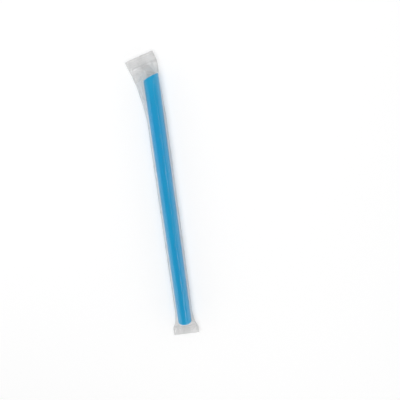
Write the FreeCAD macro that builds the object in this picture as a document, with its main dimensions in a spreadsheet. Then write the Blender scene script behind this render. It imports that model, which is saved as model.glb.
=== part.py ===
import FreeCAD, Part
import math
import os
import Sketcher
from FreeCAD import Placement, Rotation, Vector

# A jumbo drinking straw in its sealed film sleeve, lying on its side.
# Millimetres, +Z up. The straw runs along Y with its slanted tip towards +Y.
# The origin lies on the sleeve's underside, straight below the middle of the straw.

# Driving dimensions: alias, value and what the value is
SIZES = [
    ("StrawDiameter", 12.0, "outer diameter of the straw"),
    ("StrawWall", 0.3, "wall of the straw"),
    ("StrawLength", 240.0, "length of the straw to its tip"),
    ("CutAngle", 35.0, "slant of the pointed end, in degrees from a square cut"),
    ("TipRoll", 38.0, "turn of the tip about the straw's axis, in degrees from straight up"),
    ("Film", 0.2, "thickness that stands for one layer of film"),
    ("FilmGap", 0.1, "clearance between straw and film"),
    ("SideFold", 1.9, "how far the sleeve's folded sides stand out beyond the straw"),
    ("FlatFlare", 3.7, "how much further out the sides lie where the sleeve is flat"),
    ("SealLength", 8.0, "length of each crimped end seal"),
    ("SealDrop", 1.5, "how far the end seals hang below the straw's axis"),
    ("FinWidth", 6.5, "width of the lengthwise fin seal"),
    ("FinSink", 0.1, "depth to which the fin seal is welded into the sleeve"),
    ("FootSpace", 8.0, "room between the square end and its end seal"),
    ("FootFlareLength", 12.0, "stretch over which the sleeve widens towards the foot"),
    ("FootWing", 0.9, "widening of each side at the square end"),
    ("TipSpace", 5.5, "room between the tip and its end seal"),
    ("TipFlareLength", 50.0, "stretch over which the sleeve widens towards the tip"),
    ("TipWing", 7.0, "widening of the left side at the tip"),
    ("TipTuck", 1.2, "narrowing of the right side at the tip"),
    ("TipLean", 18.0, "sideways lean of the flat end at the tip, in degrees"),
    ("TipSway", 4.8, "how far the flat end at the tip has moved to the left"),
    ("PleatDepth", 0.35, "depth of the pleats where the film closes to a seal"),
    ("RidgePitch", 1.6, "distance between the ridges of an end seal"),
    ("RidgeHeight", 0.25, "height of a ridge, and depth of the groove below it"),
    ("RidgeFoot", 1.0, "width of a ridge at its foot"),
    ("RidgeCrest", 0.4, "width of a ridge at its crest"),
    ("ToothPitch", 1.2, "distance between the teeth of the zigzag cut"),
    ("ToothDepth", 0.6, "depth of the zigzag cut"),
]

SECTION_CORNERS = 32  # the film is creased lengthwise, so its section is a polygon
PLEATS = 6  # waves of pleating round the closing film
THINNEST_WING = 0.75  # how far the film falls in beside the straw at most, from 0 to 1
CLOSING_STEPS = 5  # sections between the straw's end and the seal
WIDENING_STEPS = 4  # sections along a widening stretch
SEAL_BITE = 0.8  # mm that a seal's plate reaches into the sleeve that it closes
SLIT = 0.1  # half the height of the cavity where it meets the seal

doc = FreeCAD.newDocument("wrapped_straw")
sheet = doc.addObject("Spreadsheet::Sheet", "sizes")
for row, (alias, value, meaning) in enumerate(SIZES, start=1):
    sheet.set(f"A{row}", meaning)
    sheet.set(f"B{row}", str(value))
    sheet.setAlias(f"B{row}", alias)
doc.recompute()


def size(alias):
    """The number that the sheet holds under an alias."""
    return float(sheet.get(alias))


# Heights and lengths that several pieces share, worked out from the sheet
STRAW_RADIUS = size("StrawDiameter") / 2
TUBE_HEIGHT = STRAW_RADIUS + size("FilmGap") + size("Film")
TUBE_WIDTH = STRAW_RADIUS + size("SideFold")
FLAT_WIDTH = TUBE_WIDTH + size("FlatFlare")
FIN_THICKNESS = 2 * size("Film")
AXIS_HEIGHT = FIN_THICKNESS - size("FinSink") + TUBE_HEIGHT
FOOT_Y = -size("StrawLength") / 2
TIP_Y = size("StrawLength") / 2
CLOSED_HEIGHT = size("Film") + SLIT

AXIS_HEIGHT_RULE = "2 * sizes.Film - sizes.FinSink + sizes.StrawDiameter / 2 + sizes.FilmGap + sizes.Film"
FLAT_WIDTH_RULE = "(sizes.StrawDiameter / 2 + sizes.SideFold + sizes.FlatFlare)"


# Helpers for bodies and sketches


def new_body(label):
    body = doc.addObject("PartDesign::Body", label)
    body.Label = label
    return body


def origin_feature(body, role):
    """One of the origin planes or axes of a body."""
    for feature in body.Origin.OriginFeatures:
        if feature.Role == role:
            return feature
    raise ValueError(role)


def new_sketch(body, name, plane):
    sketch = body.newObject("Sketcher::SketchObject", name)
    sketch.AttachmentSupport = (origin_feature(body, plane), [""])
    sketch.MapMode = "FlatFace"
    return sketch


def add_circle(sketch, name, diameter_rule):
    """A circle about the sketch's origin, with its diameter bound to a rule."""
    circle = sketch.addGeometry(Part.Circle(Vector(0, 0, 0), Vector(0, 0, 1), 1), False)
    sketch.addConstraint(Sketcher.Constraint("Coincident", circle, 3, -1, 1))
    index = sketch.addConstraint(Sketcher.Constraint("Diameter", circle, 2))
    sketch.renameConstraint(index, name)
    sketch.setExpression(f"Constraints.{name}", diameter_rule)


def add_outline(sketch, corners):
    """A closed outline of straight lines. Each corner is a pair of rules, for its two coordinates."""
    lines = []
    count = len(corners)
    for i in range(count):
        start = Vector(math.cos(i), math.sin(i), 0)
        end = Vector(math.cos(i + 1), math.sin(i + 1), 0)
        lines.append(sketch.addGeometry(Part.LineSegment(start, end), False))
    for i in range(count):
        following = lines[(i + 1) % count]
        sketch.addConstraint(Sketcher.Constraint("Coincident", lines[i], 2, following, 1))
    for i, (across, along) in enumerate(corners):
        for kind, rule, letter in (("DistanceX", across, "a"), ("DistanceY", along, "b")):
            index = sketch.addConstraint(Sketcher.Constraint(kind, -1, 1, lines[i], 1, 1.0))
            sketch.renameConstraint(index, f"corner_{i}_{letter}")
            sketch.setExpression(f"Constraints.corner_{i}_{letter}", rule)


# The straw: an extruded tube, cut square at the foot and aslant at the tip


def make_straw():
    body = new_body("straw")
    section = new_sketch(body, "straw_section", "XZ_Plane")
    add_circle(section, "outside", "sizes.StrawDiameter")
    add_circle(section, "bore", "sizes.StrawDiameter - 2 * sizes.StrawWall")
    tube = body.newObject("PartDesign::Pad", "straw_tube")
    tube.Profile = section
    tube.Reversed = True
    tube.setExpression("Length", "sizes.StrawLength")
    # In the side view the cut runs down from the tip, at the top, to the short side
    margin = "2 * sizes.StrawWall"
    drop = f"(sizes.StrawDiameter + {margin}) * tan(sizes.CutAngle * 1 deg)"
    over = f"{margin} * tan(sizes.CutAngle * 1 deg)"
    top = f"sizes.StrawDiameter / 2 + {margin}"
    bottom = f"-sizes.StrawDiameter / 2 - {margin}"
    cut = new_sketch(body, "straw_slant", "YZ_Plane")
    add_outline(
        cut,
        [
            (f"sizes.StrawLength + {over}", top),
            (f"sizes.StrawLength - {drop}", bottom),
            (f"sizes.StrawLength + {over}", bottom),
        ],
    )
    slant = body.newObject("PartDesign::Pocket", "straw_tip")
    slant.Profile = cut
    slant.Type = "ThroughAll"
    slant.Midplane = True
    body.Placement = Placement(Vector(0, FOOT_Y, AXIS_HEIGHT), Rotation(Vector(0, 1, 0), size("TipRoll")))
    body.setExpression("Placement.Base.y", "-sizes.StrawLength / 2")
    body.setExpression("Placement.Base.z", AXIS_HEIGHT_RULE)
    body.setExpression("Placement.Rotation.Angle", "sizes.TipRoll * 1 deg")
    return body


# The film sleeve: sections across it, and lofts through them


class Station:
    """One section across the sleeve: its middle, its turn and its half sizes."""

    def __init__(self, middle, turn, left, right, height, pleat=0.0):
        self.middle = middle
        self.turn = turn
        self.left = left
        self.right = right
        self.height = height
        self.pleat = pleat

    def placement(self):
        return Placement(self.middle, Rotation(Vector(0, 0, 1), self.turn))

    def wire(self, inset=0.0):
        """The film's section: snug over the straw, with a folded wing on each side."""
        height = self.height - inset
        flatness = height / (TUBE_HEIGHT - inset)
        corners = []
        for i in range(SECTION_CORNERS):
            angle = 2 * math.pi * i / SECTION_CORNERS
            across, up = math.cos(angle), math.sin(angle)
            width = (self.right if across > 0 else self.left) - inset
            snug = (width / (TUBE_HEIGHT - inset)) ** 2 / 2 - 0.5
            hollow = min(snug, THINNEST_WING) * flatness
            wave = self.pleat * abs(up) * math.cos(PLEATS * angle)
            corners.append(Vector(width * across, 0, height * up * (1 - hollow * across**2) + wave))
        wire = Part.makePolygon(corners + corners[:1])
        wire.Placement = self.placement()
        return wire


def smooth(share):
    """From 0 to 1 with a level start and end."""
    return share * share * (3 - 2 * share)


def mix(start, end, share):
    return start + (end - start) * share


class SleeveEnd:
    """One end of the sleeve, from the plain tube to the inner edge of its seal."""

    def __init__(self, way, mouth, room, flare_length, wing, tuck, lean, sway):
        self.way = way
        self.mouth = mouth
        self.room = room
        self.flare_length = flare_length
        self.left = TUBE_WIDTH + wing
        self.right = TUBE_WIDTH - tuck
        self.lean = lean
        self.sway = sway

    def widening(self):
        """Sections from the plain tube to the straw's end, where the film stays snug."""
        stations = []
        for step in range(WIDENING_STEPS + 1):
            share = step / WIDENING_STEPS
            along = self.mouth - self.way * self.flare_length * (1 - share)
            left = mix(TUBE_WIDTH, self.left, share**2)
            right = mix(TUBE_WIDTH, self.right, smooth(share))
            stations.append(Station(Vector(0, along, AXIS_HEIGHT), 0, left, right, TUBE_HEIGHT))
        return stations

    def closing(self):
        """Sections past the straw's end, where the film closes to the flat seal."""
        stations = []
        for step in range(1, CLOSING_STEPS + 1):
            share = step / CLOSING_STEPS
            stations.append(
                Station(
                    Vector(
                        -self.sway * share,
                        self.mouth + self.way * self.room * share,
                        AXIS_HEIGHT - size("SealDrop") * smooth(share),
                    ),
                    self.lean * share,
                    mix(self.left, FLAT_WIDTH, share),
                    mix(self.right, FLAT_WIDTH, share),
                    mix(TUBE_HEIGHT, CLOSED_HEIGHT, smooth(share)),
                    size("PleatDepth") * math.sin(math.pi * share) ** 2,
                )
            )
        return stations

    def stations(self):
        return self.widening() + self.closing()

    def seal_placement(self):
        """Where the seal's plate goes: at the last section, pointing away from the straw."""
        last = self.closing()[-1]
        turn = last.turn if self.way > 0 else last.turn + 180
        return Placement(last.middle, Rotation(Vector(0, 0, 1), turn))


def add_shape(label, shape):
    feature = doc.addObject("Part::Feature", label)
    feature.Shape = shape
    return feature


def add_loft(label, wires):
    """A creased solid through closed wires, which are kept as features of the document."""
    loft = doc.addObject("Part::Loft", label)
    loft.Sections = [add_shape(f"{label}_section_{i}", wire) for i, wire in enumerate(wires)]
    loft.Solid = True
    loft.Ruled = True
    return loft


def add_fin(stations):
    """The lengthwise seal: a flat strip that follows the sleeve's underside."""
    wires = []
    half = size("FinWidth") / 2
    for station in stations:
        top = -station.height - station.pleat + size("FinSink")
        corners = [
            Vector(-half, 0, top),
            Vector(half, 0, top),
            Vector(half, 0, top - FIN_THICKNESS),
            Vector(-half, 0, top - FIN_THICKNESS),
        ]
        wire = Part.makePolygon(corners + corners[:1])
        wire.Placement = station.placement()
        wires.append(wire)
    return add_loft("fin_seal", wires)


# The crimped end seals: a plate with pressed ridges and a zigzag cut


def add_pattern(body, name, original, role, length_rule, count_rule):
    """Copies of a feature in a row along one of the body's axes."""
    pattern = body.newObject("PartDesign::LinearPattern", name)
    pattern.Originals = [original]
    pattern.Direction = (origin_feature(body, role), [""])
    pattern.setExpression("Length", length_rule)
    pattern.setExpression("Occurrences", count_rule)
    body.Tip = pattern
    return pattern


def add_padded(body, kind, name, sketch, length_rule):
    """A pad or pocket that reaches equally far to both sides of its sketch."""
    feature = body.newObject(f"PartDesign::{kind}", name)
    feature.Profile = sketch
    feature.Midplane = True
    feature.setExpression("Length", length_rule)
    return feature


def make_seal(label, end):
    """The seal lies along its own +Y from the sleeve, with its middle layer at its own origin."""
    body = new_body(label)
    width = f"2 * {FLAT_WIDTH_RULE}"
    plate_sketch = new_sketch(body, f"{label}_outline", "XY_Plane")
    add_outline(
        plate_sketch,
        [
            (f"-{FLAT_WIDTH_RULE}", f"-{SEAL_BITE}"),
            (FLAT_WIDTH_RULE, f"-{SEAL_BITE}"),
            (FLAT_WIDTH_RULE, "sizes.SealLength"),
            (f"-{FLAT_WIDTH_RULE}", "sizes.SealLength"),
        ],
    )
    add_padded(body, "Pad", f"{label}_plate", plate_sketch, "2 * sizes.Film")
    # Ridges pressed up from below: a bar on the top face and a groove under it
    row = "sizes.SealLength - sizes.ToothDepth - sizes.RidgeFoot"
    count = f"floor(({row} - sizes.RidgeFoot) / sizes.RidgePitch) + 1"
    spread = f"(floor(({row} - sizes.RidgeFoot) / sizes.RidgePitch)) * sizes.RidgePitch"
    first = "sizes.RidgeFoot"
    for name, kind, foot, crest in (
        ("ridge", "Pad", "sizes.Film", "sizes.Film + sizes.RidgeHeight"),
        ("groove", "Pocket", "-sizes.Film", "-sizes.Film + sizes.RidgeHeight"),
    ):
        sketch = new_sketch(body, f"{label}_{name}_section", "YZ_Plane")
        add_outline(
            sketch,
            [
                (f"{first} - sizes.RidgeFoot / 2", foot),
                (f"{first} + sizes.RidgeFoot / 2", foot),
                (f"{first} + sizes.RidgeCrest / 2", crest),
                (f"{first} - sizes.RidgeCrest / 2", crest),
            ],
        )
        bar = add_padded(body, kind, f"{label}_{name}", sketch, width)
        add_pattern(body, f"{label}_{name}s", bar, "Y_Axis", spread, count)
    # The fin seal runs on under the plate to the cut
    under = f"-{SLIT} - 3 * sizes.Film + sizes.FinSink"
    fin_sketch = new_sketch(body, f"{label}_fin_section", "YZ_Plane")
    add_outline(
        fin_sketch,
        [
            ("0", under),
            ("sizes.SealLength", under),
            ("sizes.SealLength", "0"),
            ("0", "0"),
        ],
    )
    add_padded(body, "Pad", f"{label}_fin", fin_sketch, "sizes.FinWidth")
    # Zigzag cut: notches in a row, with whole teeth from side to side
    teeth = f"floor({width} / sizes.ToothPitch)"
    pitch = f"{width} / {teeth}"
    notch_sketch = new_sketch(body, f"{label}_notch_outline", "XY_Plane")
    add_outline(
        notch_sketch,
        [
            (f"-{FLAT_WIDTH_RULE}", "sizes.SealLength"),
            (f"-{FLAT_WIDTH_RULE} + {pitch} / 2", "sizes.SealLength - sizes.ToothDepth"),
            (f"-{FLAT_WIDTH_RULE} + {pitch}", "sizes.SealLength"),
        ],
    )
    notch = body.newObject("PartDesign::Pocket", f"{label}_notch")
    notch.Profile = notch_sketch
    notch.Type = "ThroughAll"
    notch.Midplane = True
    add_pattern(body, f"{label}_notches", notch, "X_Axis", f"{width} - {pitch}", teeth)
    body.Placement = end.seal_placement()
    return body


def make_wrapper():
    """One web of film: a sleeve round the straw, its fin seal, and a crimped seal at each end."""
    foot = SleeveEnd(
        way=-1,
        mouth=FOOT_Y,
        room=size("FootSpace"),
        flare_length=size("FootFlareLength"),
        wing=size("FootWing"),
        tuck=-size("FootWing"),
        lean=0,
        sway=0,
    )
    tip = SleeveEnd(
        way=1,
        mouth=TIP_Y,
        room=size("TipSpace"),
        flare_length=size("TipFlareLength"),
        wing=size("TipWing"),
        tuck=size("TipTuck"),
        lean=size("TipLean"),
        sway=size("TipSway"),
    )
    stations = foot.stations()[::-1] + tip.stations()
    sleeve = doc.addObject("Part::Cut", "sleeve")
    sleeve.Base = add_loft("sleeve_outside", [s.wire() for s in stations])
    sleeve.Tool = add_loft("sleeve_cavity", [s.wire(size("Film")) for s in stations])
    wrapper = doc.addObject("Part::MultiFuse", "wrapper")
    wrapper.Label = "wrapper"
    wrapper.Shapes = [sleeve, add_fin(stations), make_seal("foot_seal", foot), make_seal("tip_seal", tip)]
    return wrapper


parts = [make_straw(), make_wrapper()]
doc.recompute()

for item in doc.Objects:
    if "Invalid" in item.State or "Error" in item.State:
        raise RuntimeError(f"{item.Name} did not build: {item.State}")

os.makedirs("parts", exist_ok=True)
for part in parts:
    shape = part.Shape
    if shape.isNull() or not shape.isValid() or len(shape.Solids) != 1:
        raise RuntimeError(f"{part.Label} is not one valid solid")
    shape.exportStep(os.path.join("parts", f"{part.Label}.step"))
    box = shape.BoundBox
    print(f"{part.Label}: {shape.Volume:.1f} mm3, {box.XLength:.2f} x {box.YLength:.2f} x {box.ZLength:.2f} mm")
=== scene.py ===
# A blue drinking straw in its sealed sleeve of clear film, lying on a pale floor.

import math

import bpy
from mathutils import Matrix, Vector, noise


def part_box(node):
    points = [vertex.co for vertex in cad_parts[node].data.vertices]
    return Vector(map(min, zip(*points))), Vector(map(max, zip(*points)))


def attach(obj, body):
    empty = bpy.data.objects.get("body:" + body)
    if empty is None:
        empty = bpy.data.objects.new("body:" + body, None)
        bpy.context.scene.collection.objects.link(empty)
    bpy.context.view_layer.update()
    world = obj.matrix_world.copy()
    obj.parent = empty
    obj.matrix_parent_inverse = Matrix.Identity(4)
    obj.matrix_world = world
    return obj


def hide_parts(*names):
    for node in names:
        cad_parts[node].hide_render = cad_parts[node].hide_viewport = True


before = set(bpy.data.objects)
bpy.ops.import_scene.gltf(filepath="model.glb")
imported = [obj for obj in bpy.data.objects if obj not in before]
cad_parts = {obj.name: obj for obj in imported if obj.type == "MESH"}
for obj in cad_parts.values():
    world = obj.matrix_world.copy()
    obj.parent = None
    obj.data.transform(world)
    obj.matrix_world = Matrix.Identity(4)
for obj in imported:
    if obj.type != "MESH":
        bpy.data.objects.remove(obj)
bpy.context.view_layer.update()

MM = 0.001

# What the solids give, in millimetres
straw_low, straw_high = (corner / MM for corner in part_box("straw"))
STRAW_RADIUS = (straw_high.x - straw_low.x) / 2
AXIS_HEIGHT = (straw_high.z + straw_low.z) / 2
FOOT_Y = straw_low.y
TIP_Y = straw_high.y

# The straw, in millimetres and degrees
STRAW_WALL = 0.3
CUT_ANGLE = 35.0
TIP_ROLL = 38.0  # from straight up towards +X
RIM_SOFTENING = 0.07  # how far the wall's corners stand back from its end
RIM_FLAT = 0.8  # the share of the wall's end between its softened corners
STRAW_SIDES = 128
WALL_STEPS = [0, 0.001, 0.004] + [i / 60 for i in range(1, 60)] + [0.996, 0.999, 1]

# The film sleeve, in millimetres
FILM_RADIUS = STRAW_RADIUS + 0.15  # where the film is drawn over the straw
LEAST_FILM_RADIUS = FILM_RADIUS - 0.06  # where a wrinkle may bring it
WALL_END_ROOM = 0.4  # how far past the wall's ends the film still clears it
TUBE_WIDTH = STRAW_RADIUS + 1.9  # from the axis to the folded side
FLAT_WIDTH = TUBE_WIDTH + 3.7  # where the sleeve is flat
FOLD_RADIUS = 0.3
FLAT_FOLD = 0.12  # half the thickness of the flat sleeve
FLAT_TAPER = 1 / 12  # the share of the flat width that thins towards its edge
SEAL_LENGTH = 8.0
SEAL_DROP = 1.5
OUTSIDE_SEAL = -1.0  # the depth that is given to film outside a seal

# The fin seal under the sleeve, in millimetres
FIN_WIDTH = 6.5
FIN_THICKNESS = 0.26
FIN_BITE = 0.03
FIN_STEP = 0.42
FIN_COLUMNS = 20
FIN_MARGIN = 0.5  # left without knurl along its edges
FIN_CONTACT = 1.0  # welded layers shade less than loose ones
FIN_FROST = 0.3

# How far the film stands out of its plain shape, in millimetres
WEB_RIPPLE = 0.13
WEB_CREASE = 0.16
SNUG_RIPPLE = 0.02
PLEAT_CREASE = 0.34
PLEAT_RIPPLE = 0.12
SIDE_RIPPLE = 0.22

# Where the film counts as touching the straw, and how its values fade, in millimetres
TOUCHING_GAP = 0.2
TOUCHING_FADE = 0.9
STRAW_END_FADE = 1.5
FROST_FADE = 0.8

# Columns round a quarter of the sleeve: the fold, the free web and the wrapped part
FOLD_COLUMNS = 3
WEB_COLUMNS = 16
WRAP_COLUMNS = 19
QUARTER = FOLD_COLUMNS + WEB_COLUMNS + WRAP_COLUMNS
HALF = 2 * QUARTER
ROUND = 2 * HALF

# Sections along the sleeve
SEAL_STEPS = 40
FOOT_CLOSING_STEPS = 28
TIP_CLOSING_STEPS = 30
TUBE_RUNS = [  # from, to and how many
    (FOOT_Y, FOOT_Y + 14, 16),
    (FOOT_Y + 14, TIP_Y - 54, 130),
    (TIP_Y - 54, TIP_Y - 10, 44),
    (TIP_Y - 10, TIP_Y, 24),
]

# What is pressed into the seals, in millimetres
PRESSING = {
    "Ridge Start": 1.0,
    "Ridge End": 6.4,
    "Ridge Pitch": 1.6,
    "Ridge Height": 0.25,
    "Ridge Foot": 1.1,
    "Ridge Crest": 0.3,
    "Cut Start": 7.0,
    "Cut End": 8.0,
    "Tooth Depth": 0.6,
    "Knurl Pitch": 1.3,
    "Knurl Depth": 0.05,
}
TEETH = 19

# Colours, as linear red, green and blue
DRAWN_BLUE = (0.0030, 0.345, 0.645, 1)
DRAWN_BLUE_PALE = (0.0045, 0.385, 0.700, 1)
CLOUD_BLUE = (0.0040, 0.335, 0.675, 1)
# painted glow, for the light that passes the thin wall: towards the ends and in the bore
PAINTED_END_GLOW_BLUE = (0.020, 0.430, 0.740, 1)
PAINTED_BORE_GLOW_BLUE = (0.020, 0.72, 0.98, 1)
RIM_BLUE = (0.22, 0.58, 0.78, 1)
MILK_WHITE = (0.87, 0.868, 0.862, 1)
WHITE = (1, 1, 1, 1)

# Pattern sizes, as repeats in a metre across, along and up
DRAW_LINES = (900.0, 6.0, 900.0)
STRAW_CLOUDS = (60.0, 22.0, 60.0)
FILM_MOTTLE = (130.0, 75.0, 130.0)
FILM_GRAIN = (700.0, 240.0, 700.0)
FOLD_CELLS = (120.0, 38.0, 120.0)
FOLD_BENDS = (90.0, 40.0, 90.0)

# The film's look, as shares of the light
TOUCHING_GREY = 0.985
EDGE_SHADE, EDGE_GREY = 0.15, 0.6
FOLD_SHADE, FOLD_GREY, FOLD_HAZE = 0.16, 0.7, 0.11
RIDGE_HAZE, KNURL_HAZE = 0.08, 0.02
GLOSS_FACING, GLOSS_GLANCING = 0.04, 0.35
FIN_GLOSS = 0.35  # of the gloss that the sleeve has

# Floor and room
FLOOR_REACH = 4.0
FLOOR_WHITE = 0.90
FLOOR_GLOW = 0.21
FLOOR_NEAR, FLOOR_FAR = 0.30, 0.75  # where it turns to plain background, in metres
SKY_WHITE_TO, SKY_DIM_FROM = 0.25, 0.66  # heights in the sky, from -1 to 1
SKY_DIM_LIGHT = 0.12

# Camera
LENS = 77.76
SENSOR = 36.0
CAMERA_HEIGHT_ANGLE = math.radians(60.0)
CAMERA_ROLL = math.radians(-6.75)
CAMERA_DISTANCE = 0.7165
CAMERA_TARGET = Vector((0.0263, 0.0031, 0.0066))


def mix(start, end, share):
    return start + (end - start) * share


def clamp(value):
    return max(0.0, min(1.0, value))


def smooth(share):
    share = clamp(share)
    return share * share * (3 - 2 * share)


def ripple(across, along, seed):
    """Soft waves, from -1 to 1."""
    return noise.noise(Vector((across, along, seed)))


def crease(across, along, seed):
    """Sharp fold lines, up to 1, with hollows between them."""
    return 1 - 3 * abs(ripple(across, along, seed))


def cut_end(across, up):
    """Where the slanted cut ends the straw's wall, for a place seen along the straw."""
    roll = math.radians(TIP_ROLL)
    towards_tip = across * math.sin(roll) + up * math.cos(roll)
    return TIP_Y - (STRAW_RADIUS - towards_tip) * math.tan(math.radians(CUT_ANGLE))


# Meshes


def put_in_scene(name, data):
    thing = bpy.data.objects.new(name, data)
    bpy.context.scene.collection.objects.link(thing)
    return thing


def mesh_piece(name, points, faces, point_values):
    """A piece from points in millimetres, smooth, with its named values on the points."""
    mesh = bpy.data.meshes.new(name)
    mesh.from_pydata([Vector(p) * MM for p in points], [], faces)
    for label, values in point_values.items():
        if isinstance(values[0], Vector):
            layer = mesh.attributes.new(label, "FLOAT_VECTOR", "POINT")
            layer.data.foreach_set("vector", [c for v in values for c in v])
        else:
            layer = mesh.attributes.new(label, "FLOAT", "POINT")
            layer.data.foreach_set("value", [float(v) for v in values])
    mesh.shade_smooth()
    return put_in_scene(name, mesh)


def rings_to_faces(ring_count, per_ring, closed_run=False):
    """Quads between rings of points, each ring closed on itself."""
    faces = []
    for i in range(ring_count if closed_run else ring_count - 1):
        here, there = i * per_ring, (i + 1) % ring_count * per_ring
        for k in range(per_ring):
            after = (k + 1) % per_ring
            faces.append((here + k, there + k, there + after, here + after))
    return faces


def flat_caps(ring_count, per_ring, span, mirror):
    """Faces that close the first and the last ring, each point joined to the one below it."""
    faces = []
    last = (ring_count - 1) * per_ring
    for k in range(span):
        corners = list(dict.fromkeys((k, k + 1, mirror(k + 1), mirror(k))))
        faces.append(tuple(corners))
        faces.append(tuple(last + corner for corner in reversed(corners)))
    return faces


def straw_tube():
    """The extruded tube, with its wall, a square foot and a slanted tip."""
    middle = STRAW_RADIUS - STRAW_WALL / 2
    inside = STRAW_RADIUS - STRAW_WALL
    flat = STRAW_WALL / 2 * RIM_FLAT
    rim_rings = [
        (middle + flat, RIM_SOFTENING / 3),
        (middle, 0),
        (middle - flat, RIM_SOFTENING / 3),
    ]
    profile = [(STRAW_RADIUS, share, RIM_SOFTENING) for share in WALL_STEPS]
    profile += [(radius, 1, back) for radius, back in rim_rings]
    profile += [(inside, share, RIM_SOFTENING) for share in WALL_STEPS[::-1]]
    profile += [(radius, 0, back) for radius, back in rim_rings[::-1]]
    points, rim, bore = [], [], []
    for radius, share, back in profile:
        for k in range(STRAW_SIDES):
            angle = -2 * math.pi * k / STRAW_SIDES
            across, up = radius * math.sin(angle), radius * math.cos(angle)
            end = cut_end(across, up)
            along = mix(FOOT_Y + back, end - back, share)
            points.append((across, along, AXIS_HEIGHT + up))
            rim.append(min(end - along, along - FOOT_Y))
            bore.append(1.0 if radius == inside else 0.0)
    faces = rings_to_faces(len(profile), STRAW_SIDES, closed_run=True)
    return mesh_piece("straw_tube", points, faces, {"rim": rim, "bore": bore})


def on_circle(radius, angle, centre=0.0):
    return centre + radius * math.cos(angle), radius * math.sin(angle)


def drawn_quarter(width, height):
    """A quarter section: round the fold, straight along the free web, then over the straw."""
    fold_centre = width - FOLD_RADIUS
    turn = math.acos((height - FOLD_RADIUS) / fold_centre)
    points = []
    for i in range(FOLD_COLUMNS):
        points.append(on_circle(FOLD_RADIUS, turn * i / FOLD_COLUMNS, fold_centre))
    start, end = on_circle(FOLD_RADIUS, turn, fold_centre), on_circle(height, turn)
    for i in range(WEB_COLUMNS):
        share = i / WEB_COLUMNS
        points.append((mix(start[0], end[0], share), mix(start[1], end[1], share)))
    for i in range(WRAP_COLUMNS + 1):
        points.append(on_circle(height, mix(turn, math.pi / 2, i / WRAP_COLUMNS)))
    return points


def with_underside(top):
    """A whole section from its upper half, which runs from the right fold to the left one."""
    return top + [(x, -z) for x, z in top[-2:0:-1]]


def drawn_section(left, right, height):
    """The section round the straw, from the right fold over the top and back below."""
    right_side = drawn_quarter(right, height)
    left_side = [(-x, z) for x, z in drawn_quarter(left, height)]
    return with_underside(right_side + left_side[-2::-1])


def flat_section():
    """The same columns where the sleeve is pressed flat."""
    top = []
    for k in range(HALF + 1):
        across = 1 - 2 * k / HALF
        thinning = min(1.0, (1 - abs(across)) / FLAT_TAPER)
        top.append((FLAT_WIDTH * across, FLAT_FOLD * thinning))
    return with_underside(top)


class SleeveEnd:
    """One end of the sleeve, from the plain tube to the cut of its seal."""

    def __init__(self, way, mouth, room, flare, left, right, lean, sway):
        self.way = way  # along Y
        self.mouth = mouth  # where the straw ends
        self.room = room  # from there to the seal
        self.flare = flare  # how long before the mouth the sleeve starts to widen
        self.left = left  # half widths at the mouth
        self.right = right
        self.lean = lean  # degrees that the seal is turned
        self.sway = sway  # how far the seal is shifted to the left


FOOT_END = SleeveEnd(
    way=-1,
    mouth=FOOT_Y,
    room=8.0,
    flare=12.0,
    left=TUBE_WIDTH + 0.9,
    right=TUBE_WIDTH + 0.9,
    lean=0.0,
    sway=0.0,
)
TIP_END = SleeveEnd(
    way=1,
    mouth=TIP_Y,
    room=5.5,
    flare=50.0,
    left=TUBE_WIDTH + 7.0,
    right=TUBE_WIDTH - 1.2,
    lean=18.0,
    sway=4.8,
)


def widths_at(along):
    """Half widths of the sleeve to the left and the right, where it is round the straw."""
    left = right = TUBE_WIDTH
    for end in (FOOT_END, TIP_END):
        share = 1 - (end.mouth - along) * end.way / end.flare
        left = mix(left, end.left, clamp(share) ** 2)
        right = mix(right, end.right, smooth(share))
    left += SIDE_RIPPLE * ripple(0.3, along / 23, 3)
    right += SIDE_RIPPLE * ripple(0.7, along / 19, 7)
    return left, right


def frame_at(run):
    """Middle, turn and direction of a section."""
    end, along, share, depth = run
    if end is None:
        return Vector((0, along, AXIS_HEIGHT)), 0.0, Vector((0, 1, 0))
    turn = math.radians(end.lean * share)
    out = Vector((-math.sin(turn), math.cos(turn), 0)) * end.way
    middle = Vector(
        (
            -end.sway * share,
            end.mouth + end.way * end.room * share,
            AXIS_HEIGHT - SEAL_DROP * smooth(share),
        )
    )
    return middle + out * depth, turn, out


def sleeve_runs():
    """Sections from the foot's cut to the tip's: end, place along, closing, depth in the seal."""
    runs = []
    for i in range(SEAL_STEPS, 0, -1):
        runs.append((FOOT_END, FOOT_Y, 1.0, SEAL_LENGTH * i / SEAL_STEPS))
    for i in range(FOOT_CLOSING_STEPS, 0, -1):
        runs.append((FOOT_END, FOOT_Y, i / FOOT_CLOSING_STEPS, 0.0))
    for start, stop, steps in TUBE_RUNS:
        for i in range(steps):
            runs.append((None, mix(start, stop, i / steps), 0.0, 0.0))
    for i in range(TIP_CLOSING_STEPS):
        runs.append((TIP_END, TIP_Y, i / TIP_CLOSING_STEPS, 0.0))
    for i in range(SEAL_STEPS + 1):
        runs.append((TIP_END, TIP_Y, 1.0, SEAL_LENGTH * i / SEAL_STEPS))
    return runs


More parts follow.
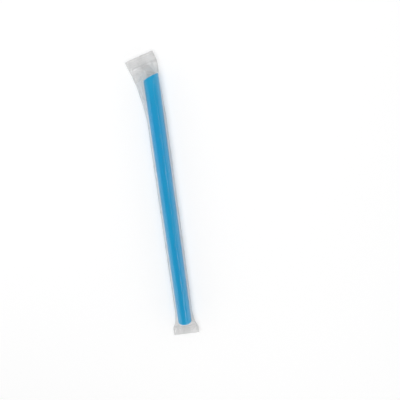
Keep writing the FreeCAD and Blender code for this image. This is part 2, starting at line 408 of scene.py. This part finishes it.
def film_wrinkle(column, along, closing):
    """How far a place on the film stands out of its plain shape, in millimetres."""
    side = column % HALF
    across = 1 - 2 * side / HALF
    seed = 40.0 if column >= HALF else 0.0  # the underside has its own wrinkles
    from_fold = min(side, HALF - side)
    past_fold = smooth((from_fold - 1) / 5)
    before_straw = 1 - smooth((from_fold - FOLD_COLUMNS - WEB_COLUMNS + 3) / 4)

    slow_wave = ripple(across * 2.2, along / 17, seed)
    slanted_fold = crease(across * 4 + along / 30, along / 20, seed + 5)
    tight_wave = ripple(across * 9, along / 5, seed + 9)
    web = WEB_RIPPLE * slow_wave + WEB_CREASE * slanted_fold
    plain = mix(SNUG_RIPPLE * tight_wave, web, past_fold * before_straw)
    if closing <= 0:
        return plain
    gathered = crease(across * 5.5, closing * 0.9, seed + 13)
    puckered = ripple(across * 13, closing * 2.2, seed + 17)
    pleats = PLEAT_CREASE * gathered + PLEAT_RIPPLE * puckered
    pleated = math.sin(math.pi * closing) ** 1.5
    return mix(plain * (1 - closing), pleats * smooth(from_fold / 6), pleated)


def clear_of_straw(place):
    """Moves a place on the film out to the straw's wall, where it would be inside it."""
    up = place.z - AXIS_HEIGHT
    reach = math.hypot(place.x, up)
    wall_starts = FOOT_Y - WALL_END_ROOM
    wall_ends = cut_end(place.x, up) + WALL_END_ROOM
    if reach >= LEAST_FILM_RADIUS or not wall_starts < place.y < wall_ends:
        return place
    grow = LEAST_FILM_RADIUS / max(reach, 0.1)
    return Vector((place.x * grow, place.y, AXIS_HEIGHT + up * grow))


def straw_contact(place):
    """1 where the film touches the straw, 0 where it is free."""
    up = place.z - AXIS_HEIGHT
    gap = math.hypot(place.x, up) - STRAW_RADIUS
    touching = 1 - smooth((gap - TOUCHING_GAP) / TOUCHING_FADE)
    touching *= 1 - smooth((place.y - cut_end(place.x, up)) / STRAW_END_FADE)
    return touching * (1 - smooth((FOOT_Y - place.y) / STRAW_END_FADE))


def film_point(place, seal_depth, across, out, contact, frost, knurl=0.0, strip=(0.0, 0.0)):
    """A point of film in millimetres, with the values that its pressing and material read."""
    return {
        "place": place,
        "seal_along": seal_depth * MM,
        "seal_across": 0.5 + across / (2 * FLAT_WIDTH),
        "seal_out": out,
        "contact": contact,
        "frost": frost,
        "knurl": knurl,
        "strip": Vector((*strip, 0)) * MM,
    }


def film_piece(name, rows, faces):
    values = {label: [row[label] for row in rows] for label in rows[0] if label != "place"}
    return mesh_piece(name, [row["place"] for row in rows], faces, values)


def sleeve_section(run, flat):
    """One ring of the sleeve."""
    end, along, share, depth = run
    middle, turn, out = frame_at(run)
    left, right = widths_at(along)
    in_seal = share >= 1
    rows = []
    for column, (x, z) in enumerate(drawn_section(left, right, FILM_RADIUS)):
        flat_x, flat_z = flat[column]
        closed = share
        wall_ends = cut_end(x, z)
        if end is not FOOT_END and middle.y > wall_ends and not in_seal:
            closed = clamp((middle.y - wall_ends) / (TIP_END.mouth + TIP_END.room - wall_ends))
        length = math.hypot(x, z)
        wrinkle = film_wrinkle(column, middle.y, closed)
        wide = mix(x + wrinkle * x / length, flat_x, share)
        high = mix(z + wrinkle * z / length * (1 - smooth(closed)), flat_z, smooth(closed))
        if 0 < closed < 1:
            high += wrinkle * (1 if z > 0 else -1) * smooth(closed) * (1 - closed)
        place = middle + Vector((wide * math.cos(turn), wide * math.sin(turn), high))
        place = clear_of_straw(place)
        rows.append(
            film_point(
                place,
                depth if in_seal else OUTSIDE_SEAL,
                flat_x,
                out,
                straw_contact(place),
                smooth(depth / FROST_FADE) if in_seal else 0.0,
            )
        )
    return rows


def film_sleeve(runs):
    """The film pouch: both webs, the folded sides and the flat ends, in one closed skin."""
    flat = flat_section()
    rows = [row for run in runs for row in sleeve_section(run, flat)]
    faces = rings_to_faces(len(runs), ROUND)
    faces += flat_caps(len(runs), ROUND, HALF, lambda k: (ROUND - k) % ROUND)
    underside = [rows[i * ROUND + HALF + QUARTER]["place"] for i in range(len(runs))]
    return film_piece("film_sleeve", rows, faces), underside


def fin_stations(runs, underside):
    """Middle, turn, direction and depth in the seal, in even steps along the underside."""
    centre = []
    for run, below in zip(runs, underside):
        _, turn, out = frame_at(run)
        _, _, share, depth = run
        centre.append((below, turn, out, depth if share >= 1 else OUTSIDE_SEAL))
    stations = []
    for here, there in zip(centre, centre[1:]):
        steps = max(1, round((there[0] - here[0]).length / FIN_STEP))
        for i in range(steps):
            below = here[0].lerp(there[0], i / steps)
            turn = mix(here[1], there[1], i / steps)
            depth = mix(here[3], there[3], i / steps)
            stations.append((below, turn, here[2], depth))
    return stations + centre[-1:]


def film_fin(runs, underside):
    """The lengthwise seal: a knurled strip under the sleeve, from cut to cut."""
    stations = fin_stations(runs, underside)
    ring = [(FIN_BITE, k) for k in range(FIN_COLUMNS, -1, -1)]
    ring += [(FIN_BITE - FIN_THICKNESS, k) for k in range(FIN_COLUMNS + 1)]
    rows = []
    travelled = 0.0
    before = stations[0][0]
    for below, turn, out, depth in stations:
        travelled += (below - before).length
        before = below
        for level, k in ring:
            across = FIN_WIDTH * (k / FIN_COLUMNS - 0.5)
            knurl = smooth((FIN_WIDTH / 2 - abs(across)) / FIN_MARGIN)
            place = below + Vector((across * math.cos(turn), across * math.sin(turn), level))
            strip = (across, travelled)
            rows.append(
                film_point(place, depth, across, out, FIN_CONTACT, FIN_FROST, knurl, strip)
            )
    faces = rings_to_faces(len(stations), len(ring))
    faces += flat_caps(len(stations), len(ring), FIN_COLUMNS, lambda k: len(ring) - 1 - k)
    return film_piece("film_fin", rows, faces)


# Node trees


class Tree:
    """Adds nodes to a tree and links them, left to right."""

    def __init__(self, tree):
        self.tree = tree
        self.spot = 0

    def add(self, kind, inputs=None, **settings):
        """A new node, with its settings and what goes into its inputs: a value or a socket."""
        node = self.tree.nodes.new(kind)
        node.location = (self.spot * 180, 0)
        self.spot += 1
        for name, value in settings.items():
            setattr(node, name, value)
        for name, value in (inputs or {}).items():
            self.feed(node.inputs[name], value)
        return node

    def feed(self, target, value):
        if isinstance(value, bpy.types.NodeSocket):
            self.tree.links.new(value, target)
        else:
            target.default_value = value

    def math(self, operation, *values):
        inputs = dict(enumerate(values))
        return self.add("ShaderNodeMath", inputs, operation=operation).outputs[0]

    def product(self, first, *others):
        for other in others:
            first = self.math("MULTIPLY", first, other)
        return first

    def vector_math(self, operation, inputs):
        node = self.add("ShaderNodeVectorMath", inputs, operation=operation)
        return node.outputs["Value" if operation == "LENGTH" else "Vector"]

    def ramp(self, value, low, high, at_low, at_high):
        """Eases from one value to another, between two limits."""
        inputs = {
            "Value": value,
            "From Min": low,
            "From Max": high,
            "To Min": at_low,
            "To Max": at_high,
        }
        node = self.add("ShaderNodeMapRange", inputs, interpolation_type="SMOOTHSTEP")
        return node.outputs[0]

    def named(self, label, kind="FLOAT"):
        """The film's own values, in geometry nodes."""
        inputs = {"Name": label}
        node = self.add("GeometryNodeInputNamedAttribute", inputs, data_type=kind)
        return node.outputs["Attribute"]


def cross_ridges(t, given, along):
    """1 along the pressed ridges of a seal, 0 between them."""
    half_pitch = t.product(given["Ridge Pitch"], 0.5)
    from_first = t.math("SUBTRACT", along, given["Ridge Start"])
    shifted = t.math("ADD", from_first, half_pitch)
    wrapped = t.math("FLOORED_MODULO", shifted, given["Ridge Pitch"])
    beside_crest = t.math("ABSOLUTE", t.math("SUBTRACT", wrapped, half_pitch))
    crest = t.product(given["Ridge Crest"], 0.5)
    foot = t.product(given["Ridge Foot"], 0.5)
    bar = t.ramp(beside_crest, crest, foot, 1.0, 0.0)
    first_foot = t.math("SUBTRACT", given["Ridge Start"], foot)
    after_start = t.math("GREATER_THAN", along, first_foot)
    before_end = t.math("LESS_THAN", along, given["Ridge End"])
    return t.product(bar, after_start, before_end)


def fin_diamonds(t, given):
    """The fin's knurl, from -1 to 1."""
    strip = t.add("ShaderNodeSeparateXYZ", {0: t.named("strip", "FLOAT_VECTOR")}).outputs
    turns = t.math("DIVIDE", math.pi, given["Knurl Pitch"])
    waves = []
    for way in ("ADD", "SUBTRACT"):
        slanted = t.math(way, strip["X"], strip["Y"])
        waves.append(t.math("SINE", t.product(slanted, turns)))
    return t.product(*waves, t.named("knurl"))


def zigzag_trim(t, given, along):
    """How far the zigzag knife cuts the film back."""
    teeth = t.product(t.named("seal_across"), given["Teeth"])
    zigzag = t.product(t.math("PINGPONG", teeth, 0.5), 2.0)
    near_cut = t.ramp(along, given["Cut Start"], given["Cut End"], 0.0, 1.0)
    return t.product(zigzag, near_cut, given["Tooth Depth"])


def pressing_tree():
    """Presses ridges across the seals, cuts them in a zigzag and knurls the fin."""
    group = bpy.data.node_groups.new("pressed_seals", "GeometryNodeTree")
    sockets = group.interface
    sockets.new_socket("Film Shape", in_out="INPUT", socket_type="NodeSocketGeometry")
    sizes = {label: value * MM for label, value in PRESSING.items()}
    for label, value in {**sizes, "Teeth": TEETH}.items():
        socket = sockets.new_socket(label, in_out="INPUT", socket_type="NodeSocketFloat")
        socket.default_value = value
    sockets.new_socket("Film", in_out="INPUT", socket_type="NodeSocketMaterial")
    sockets.new_socket("Pressed Film", in_out="OUTPUT", socket_type="NodeSocketGeometry")
    t = Tree(group)
    given = t.add("NodeGroupInput").outputs
    along = t.named("seal_along")

    ridges = cross_ridges(t, given, along)
    diamonds = fin_diamonds(t, given)
    ridge_lift = t.product(ridges, given["Ridge Height"])
    knurl_lift = t.product(diamonds, given["Knurl Depth"])
    lift = t.add("ShaderNodeCombineXYZ", {"Z": t.math("ADD", ridge_lift, knurl_lift)})
    inwards = t.product(zigzag_trim(t, given, along), -1.0)
    pull = t.vector_math("SCALE", {0: t.named("seal_out", "FLOAT_VECTOR"), "Scale": inwards})
    offset = t.vector_math("ADD", {0: lift.outputs[0], 1: pull})

    press = t.add("GeometryNodeSetPosition", {"Geometry": given["Film Shape"], "Offset": offset})
    keep = t.add(
        "GeometryNodeStoreNamedAttribute",
        {
            "Name": "pressed",
            "Geometry": press.outputs["Geometry"],
            "Value": t.math("MAXIMUM", ridges, t.math("ABSOLUTE", diamonds)),
        },
        data_type="FLOAT",
        domain="POINT",
    )
    real = t.add("GeometryNodeRealizeInstances", {"Geometry": keep.outputs["Geometry"]})
    paint = t.add(
        "GeometryNodeSetMaterial",
        {"Geometry": real.outputs["Geometry"], "Material": given["Film"]},
    )
    t.add("NodeGroupOutput", {"Pressed Film": paint.outputs["Geometry"]})
    return group


def press_film(piece, group, film):
    """Runs the tree on a piece and leaves a plain mesh."""
    items = group.interface.items_tree
    identifiers = {item.name: item.identifier for item in items if item.in_out == "INPUT"}
    modifier = piece.modifiers.new("pressing", "NODES")
    modifier.node_group = group
    for label, value in PRESSING.items():
        modifier[identifiers[label]] = value * MM
    modifier[identifiers["Teeth"]] = float(TEETH)
    modifier[identifiers["Film"]] = film
    evaluated = piece.evaluated_get(bpy.context.evaluated_depsgraph_get())
    pressed = bpy.data.meshes.new_from_object(evaluated)
    piece.modifiers.clear()
    plain = piece.data
    piece.data = pressed
    bpy.data.meshes.remove(plain)
    pressed.name = piece.name
    pressed.shade_smooth()


# Materials


def new_material(name):
    material = bpy.data.materials.new(name)
    material.use_nodes = True
    material.node_tree.nodes.clear()
    return material, Tree(material.node_tree)


def grey(level):
    return (level, level, level, 1)


def stretched_place(t, scale):
    """Object coordinates, with each axis scaled by itself."""
    place = t.add("ShaderNodeTexCoord").outputs["Object"]
    return t.add("ShaderNodeMapping", {"Vector": place, "Scale": scale}).outputs["Vector"]


def clouds(t, scale, detail=2.0, roughness=0.5):
    """Soft noise, in its outputs Fac and Color."""
    inputs = {
        "Vector": stretched_place(t, scale),
        "Scale": 1.0,
        "Detail": detail,
        "Roughness": roughness,
    }
    return t.add("ShaderNodeTexNoise", inputs).outputs


def point_value(t, label):
    return t.add("ShaderNodeAttribute", attribute_name=label).outputs["Fac"]


def blend_colour(t, share, first, second):
    node = t.add("ShaderNodeMix", {"Factor": share}, data_type="RGBA")
    colours = [socket for socket in node.inputs if socket.type == "RGBA"]
    t.feed(colours[0], first)
    t.feed(colours[1], second)
    return next(socket for socket in node.outputs if socket.type == "RGBA")


def bumped(t, height, strength, distance):
    inputs = {"Strength": strength, "Distance": distance, "Height": height}
    return t.add("ShaderNodeBump", inputs).outputs["Normal"]


def mix_shaders(t, share, first, second):
    inputs = {0: share, 1: first.outputs[0], 2: second.outputs[0]}
    return t.add("ShaderNodeMixShader", inputs)


def show(t, shader, kind="ShaderNodeOutputMaterial"):
    t.add(kind, {"Surface": shader.outputs[0]})


def blue_plastic():
    """Extruded plastic: deep blue, with faint draw lines along it and a paler cut edge.

    The bore and the ends are painted a paler blue too. This painted glow stands in for the light
    that the thin wall passes.
    """
    material, t = new_material("blue_straw_plastic")
    lines = clouds(t, DRAW_LINES, detail=3.0)["Fac"]
    patches = clouds(t, STRAW_CLOUDS)["Fac"]
    rim = point_value(t, "rim")
    bore = point_value(t, "bore")
    body = blend_colour(t, t.ramp(lines, 0.3, 0.7, 0.0, 1.0), DRAWN_BLUE, DRAWN_BLUE_PALE)
    for share, colour in (
        (t.ramp(patches, 0.35, 0.65, 0.0, 0.5), CLOUD_BLUE),
        # painted glow: paler towards the ends and in the bore, for light that the thin wall
        # passes
        (t.ramp(rim, 0.0, 22.0, 0.45, 0.0), PAINTED_END_GLOW_BLUE),
        (t.product(bore, 0.9), PAINTED_BORE_GLOW_BLUE),
        (t.ramp(rim, 0.0, 0.5, 0.55, 0.0), RIM_BLUE),
    ):
        body = blend_colour(t, share, body, colour)
    inputs = {
        "Base Color": body,
        "Roughness": t.ramp(lines, 0.2, 0.8, 0.30, 0.40),
        "Specular IOR Level": 0.3,
        "Normal": bumped(t, lines, strength=0.08, distance=0.0003),
    }
    show(t, t.add("ShaderNodeBsdfPrincipled", inputs))
    return material


def fold_lines(t, mottle, touching, frost):
    """Fine creases: the edges of bent cells, fainter on the straw and in the seals."""
    bend = t.vector_math("SCALE", {0: clouds(t, FOLD_BENDS)["Color"], "Scale": 0.8})
    place = t.vector_math("ADD", {0: stretched_place(t, FOLD_CELLS), 1: bend})
    inputs = {"Vector": place, "Scale": 1.0}
    cells = t.add("ShaderNodeTexVoronoi", inputs, feature="DISTANCE_TO_EDGE")
    return t.product(
        t.ramp(cells.outputs["Distance"], 0.0, 0.08, 1.0, 0.0),
        t.ramp(mottle, 0.38, 0.62, 0.35, 1.0),
        t.ramp(touching, 0.0, 1.0, 1.0, 0.10),
        t.ramp(frost, 0.0, 1.0, 1.0, 0.45),
    )


def clear_film(name, tint, haze_free, haze_touching, frosting):
    """Thin clear film: a grey see-through web, a little milky, creased, with gloss on top."""
    material, t = new_material(name)
    touching = point_value(t, "contact")
    pressed = point_value(t, "pressed")
    frost = point_value(t, "frost")
    on_fin = point_value(t, "knurl")
    mottle = clouds(t, FILM_MOTTLE, detail=3.0, roughness=0.6)["Fac"]
    grain = clouds(t, FILM_GRAIN, detail=3.0, roughness=0.6)["Fac"]
    fold = fold_lines(t, mottle, touching, frost)

    facing = t.add("ShaderNodeLayerWeight", {"Blend": 0.35}).outputs["Facing"]
    edge_on = t.ramp(facing, 0.45, 1.0, 0.0, 1.0)
    mottled = t.ramp(mottle, 0.3, 0.7, 0.0, 1.0)
    clear = blend_colour(t, mottled, grey(tint * 0.98), grey(tint * 1.02))
    for share, level in (
        (touching, TOUCHING_GREY),
        (t.product(edge_on, EDGE_SHADE), EDGE_GREY),
        (t.product(fold, FOLD_SHADE), FOLD_GREY),
    ):
        clear = blend_colour(t, share, clear, grey(level))
    see_through = t.add("ShaderNodeBsdfTransparent", {"Color": clear})

    milk = t.add("ShaderNodeBsdfDiffuse", {"Color": MILK_WHITE})
    haze = t.ramp(touching, 0.0, 1.0, haze_free, haze_touching)
    for share, amount in (
        (frost, frosting),
        (pressed, t.ramp(on_fin, 0.0, 1.0, RIDGE_HAZE, KNURL_HAZE)),
        (fold, FOLD_HAZE),
    ):
        haze = t.math("ADD", haze, t.product(share, amount))
    haze = t.product(haze, t.ramp(mottle, 0.25, 0.75, 0.75, 1.25))
    hazy = mix_shaders(t, haze, see_through, milk)

    height = t.math("MULTIPLY_ADD", fold, 0.9, t.product(grain, 0.6))
    normal = bumped(t, height, strength=0.5, distance=0.0004)
    gloss = t.add("ShaderNodeBsdfGlossy", {"Color": WHITE, "Roughness": 0.10, "Normal": normal})
    sheen = t.add("ShaderNodeLayerWeight", {"Blend": 0.5, "Normal": normal})
    glancing = t.math("POWER", sheen.outputs["Facing"], 3.0)
    gloss_share = t.math("MULTIPLY_ADD", glancing, GLOSS_GLANCING, GLOSS_FACING)
    gloss_share = t.product(gloss_share, t.ramp(on_fin, 0.0, 1.0, 1.0, FIN_GLOSS))
    show(t, mix_shaders(t, gloss_share, hazy, gloss))
    return material


def background_rays(t):
    """1 for the rays that show a background, where a strength of 1 is white."""
    path = t.add("ShaderNodeLightPath").outputs
    shown = t.math("MAXIMUM", path["Is Camera Ray"], path["Is Glossy Ray"])
    return t.math("MAXIMUM", shown, path["Is Transmission Ray"])


def floor_paper():
    """White paper that shows as plain white where nothing shades it."""
    material, t = new_material("floor_paper")
    shown = background_rays(t)
    paper = t.add("ShaderNodeBsdfDiffuse", {"Color": grey(FLOOR_WHITE)})
    glow_inputs = {"Color": WHITE, "Strength": t.product(shown, FLOOR_GLOW)}
    glow = t.add("ShaderNodeEmission", glow_inputs)
    near = t.add("ShaderNodeAddShader", {0: paper.outputs[0], 1: glow.outputs[0]})
    far = t.add("ShaderNodeEmission", {"Color": WHITE, "Strength": shown})
    place = t.add("ShaderNodeTexCoord").outputs["Object"]
    distance = t.vector_math("LENGTH", {0: place})
    show(t, mix_shaders(t, t.ramp(distance, FLOOR_NEAR, FLOOR_FAR, 0.0, 1.0), near, far))
    return material


# Pieces

film = clear_film("clear_film", tint=0.875, haze_free=0.06, haze_touching=0.003, frosting=0.03)
straw = straw_tube()
straw.data.materials.append(blue_plastic())
sections = sleeve_runs()
sleeve, sleeve_underside = film_sleeve(sections)
fin = film_fin(sections, sleeve_underside)
pressing = pressing_tree()
for piece in (sleeve, fin):
    press_film(piece, pressing, film)
    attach(piece, "root")
    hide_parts("wrapper")
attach(straw, "root")
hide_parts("straw")

# Floor, light and camera

floor_mesh = bpy.data.meshes.new("floor")
sides = ((-1, -1), (1, -1), (1, 1), (-1, 1))
corners = [(x * FLOOR_REACH, y * FLOOR_REACH, 0) for x, y in sides]
floor_mesh.from_pydata(corners, [], [(0, 1, 2, 3)])
floor_mesh.materials.append(floor_paper())
floor = put_in_scene("floor", floor_mesh)

world = bpy.data.worlds.new("pale_room")
bpy.context.scene.world = world
world.use_nodes = True
world.node_tree.nodes.clear()
sky = Tree(world.node_tree)
direction = sky.add("ShaderNodeTexCoord").outputs["Generated"]
height = sky.add("ShaderNodeSeparateXYZ", {0: direction}).outputs["Z"]
sky_light = sky.ramp(height, SKY_WHITE_TO, SKY_DIM_FROM, 1.0, SKY_DIM_LIGHT)
room = sky.add("ShaderNodeBackground", {"Color": WHITE, "Strength": sky_light})
show(sky, room, "ShaderNodeOutputWorld")


def turned(place, back, roll=0.0):
    """A matrix at a place, its Z axis back, its X axis square to the straw, then rolled."""
    level = Vector((0, 1, 0)).cross(back).normalized()
    rise = back.cross(level)
    right = level * math.cos(roll) + rise * math.sin(roll)
    up = rise * math.cos(roll) - level * math.sin(roll)
    return Matrix.Translation(place) @ Matrix((right, up, back)).transposed().to_4x4()


def area_lamp(name, place, width, length, power):
    """A lamp that faces the floor's middle, under the straw."""
    light = bpy.data.lights.new(name, "AREA")
    light.shape = "RECTANGLE"
    light.size = width
    light.size_y = length
    light.energy = power
    lamp = put_in_scene(name, light)
    lamp.matrix_world = turned(Vector(place), Vector(place).normalized())


area_lamp("long_strip", (0.26, -0.40, 0.50), width=0.05, length=0.6, power=0.45)
area_lamp("soft_overhead", (-0.30, 0.60, 1.70), width=1.4, length=1.4, power=22.0)

camera_data = bpy.data.cameras.new("camera")
camera_data.lens = LENS
camera_data.sensor_width = SENSOR
camera_data.clip_start = 0.01
camera = put_in_scene("camera", camera_data)
back = Vector((0, math.cos(CAMERA_HEIGHT_ANGLE), math.sin(CAMERA_HEIGHT_ANGLE)))
camera.matrix_world = turned(CAMERA_TARGET + back * CAMERA_DISTANCE, back, CAMERA_ROLL)
bpy.context.scene.camera = camera
bpy.context.scene.view_settings.view_transform = "Standard"
